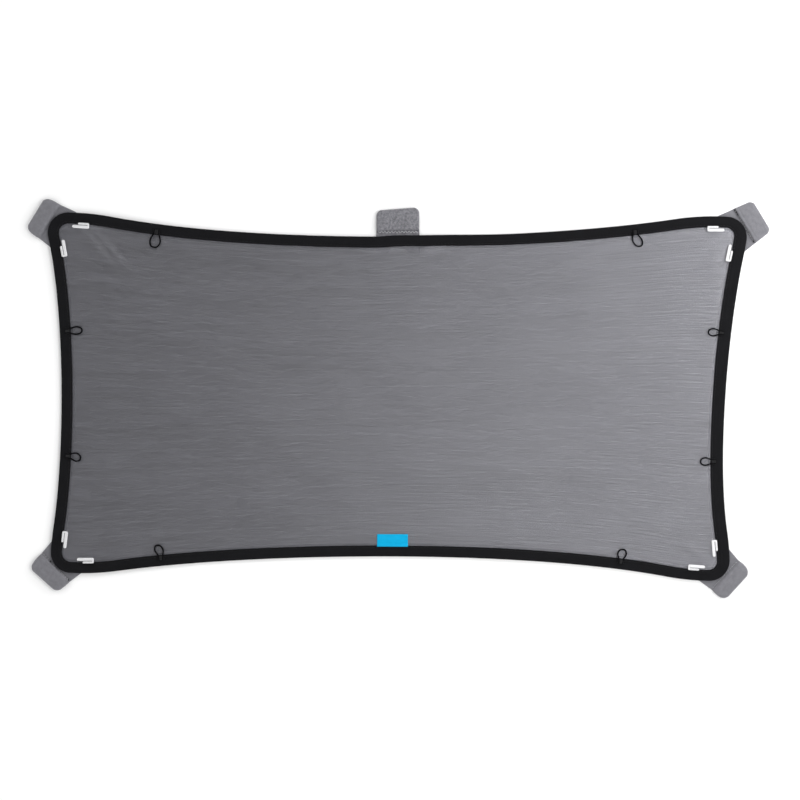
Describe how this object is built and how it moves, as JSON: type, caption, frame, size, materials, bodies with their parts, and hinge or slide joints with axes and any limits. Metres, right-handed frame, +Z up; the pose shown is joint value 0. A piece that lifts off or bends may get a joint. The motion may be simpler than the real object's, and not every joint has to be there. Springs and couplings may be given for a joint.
{
  "type": "car side window sunshade",
  "caption": "Stretchy knit window sunshade with a folded elastic binding, magnet pouches at its corners and top, and cord loops that pull over corner hooks.",
  "frame": {"origin": "on the surface that the shade lies on, under the middle of its bounding box", "axes": "+X along the shade's length to the picture's right, +Y towards its top edge with the middle pouch, +Z up from the surface"},
  "size_m": [0.705, 0.3792, 0.0053],
  "materials": {
    "knit": "thin open warp knit in mid grey, matte",
    "tape": "black ribbed elastic tape, matte",
    "felt": "brushed grey felt",
    "magnet": "nickel plated block",
    "cord": "black braided elastic cord",
    "plastic": "white moulded plastic, satin",
    "label": "bare woven satin label in cyan"
  },
  "bodies": {
    "root": {"mesh_screen": "knit", "edge_binding": "tape", "magnet_pouch_bottom_left": "felt", "magnet_pouch_bottom_right": "felt", "magnet_pouch_top_right": "felt", "magnet_pouch_top_left": "felt", "magnet_pouch_top_centre": "felt", "magnet_bottom_left": "magnet", "magnet_bottom_right": "magnet", "magnet_top_right": "magnet", "magnet_top_left": "magnet", "magnet_top_centre": "magnet", "hook_bottom_left_on_left": "plastic", "hook_bottom_left_on_bottom": "plastic", "hook_bottom_right_on_bottom": "plastic", "hook_bottom_right_on_right": "plastic", "hook_top_right_on_right": "plastic", "hook_top_right_on_top": "plastic", "hook_top_left_on_top": "plastic", "hook_top_left_on_left": "plastic", "cord_loop_bottom_left_on_left": "cord", "cord_loop_bottom_left_on_bottom": "cord", "cord_loop_bottom_right_on_bottom": "cord", "cord_loop_bottom_right_on_right": "cord", "cord_loop_top_right_on_right": "cord", "cord_loop_top_right_on_top": "cord", "cord_loop_top_left_on_top": "cord", "cord_loop_top_left_on_left": "cord", "label": "label"}
  },
  "joints": []
}
